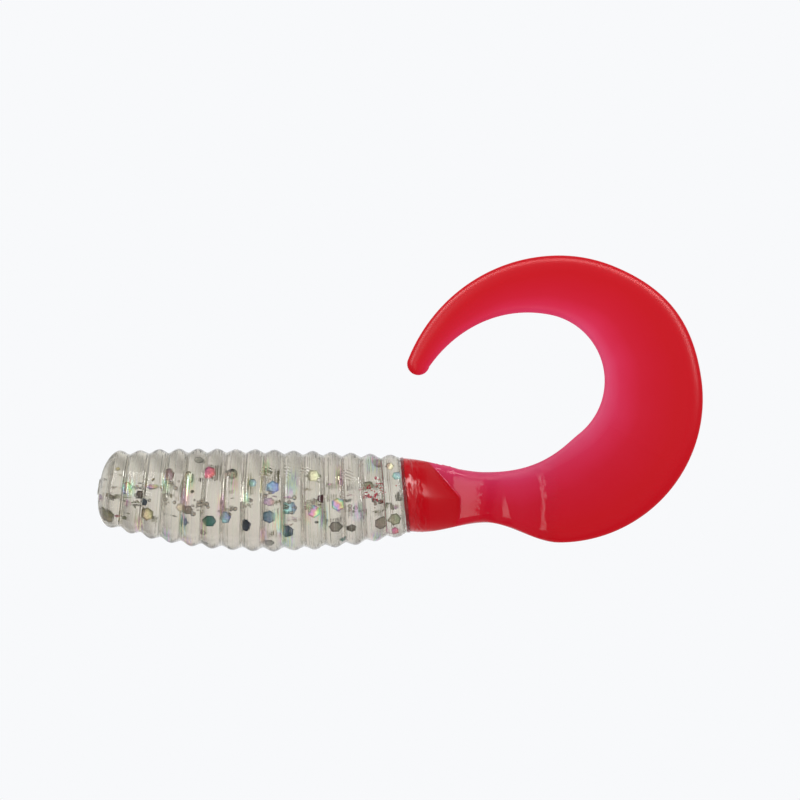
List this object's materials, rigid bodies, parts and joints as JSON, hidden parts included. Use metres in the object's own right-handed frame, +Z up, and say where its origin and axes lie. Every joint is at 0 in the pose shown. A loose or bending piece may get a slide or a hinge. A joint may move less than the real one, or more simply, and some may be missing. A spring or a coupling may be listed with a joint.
{
  "type": "curl-tail grub fishing lure",
  "caption": "Soft plastic worm: a clear ribbed body with glitter flakes cast inside it, and a red sickle tail that flexes at its neck, blade and tip.",
  "frame": {"origin": "middle of the flat on the nose, where the body meets a jig head", "axes": "+X along the body from the nose to the tail, +Z up in the plane of the tail's curl, +Y across, through the tail's thickness"},
  "size_m": [0.0468, 0.0078, 0.0229],
  "materials": {
    "clear_plastisol": "clear, slightly smoky, glossy from the mould",
    "holographic_foil": "metallised film with a rainbow sheen",
    "red_plastisol": "opaque red, glossy from the mould"
  },
  "bodies": {
    "lure_body": {"ribbed_body": "clear_plastisol", "large_flakes": "holographic_foil", "medium_flakes": "holographic_foil", "small_flakes": "holographic_foil", "tail_root": "red_plastisol", "tail_neck": "red_plastisol"},
    "lower_tail": {"tail_lower_blade": "red_plastisol", "tail_mid_bend": "red_plastisol"},
    "upper_tail": {"tail_upper_blade": "red_plastisol", "tail_tip_bend": "red_plastisol"},
    "tail_end": {"tail_tip": "red_plastisol"}
  },
  "joints": [
    {"name": "tail_wag", "type": "hinge", "parent": "lure_body", "child": "lower_tail", "pos_m": [0.02991, 0, -0.00082], "axis": [0, 0, 1], "range_deg": [-60, 60], "stiffness_Nm_per_rad": 0.00005, "deforming": ["tail_neck"]},
    {"name": "blade_flex", "type": "hinge", "parent": "lower_tail", "child": "upper_tail", "pos_m": [0.03561, 0, 0.00678], "axis": [0.9848, 0, 0.1736], "range_deg": [-50, 50], "stiffness_Nm_per_rad": 0.00008, "deforming": ["tail_mid_bend"]},
    {"name": "tip_flex", "type": "hinge", "parent": "upper_tail", "child": "tail_end", "pos_m": [0.03561, 0, 0.00678], "axis": [-0.0872, 0, 0.9962], "range_deg": [-60, 60], "stiffness_Nm_per_rad": 0.00003, "deforming": ["tail_tip_bend"]}
  ]
}
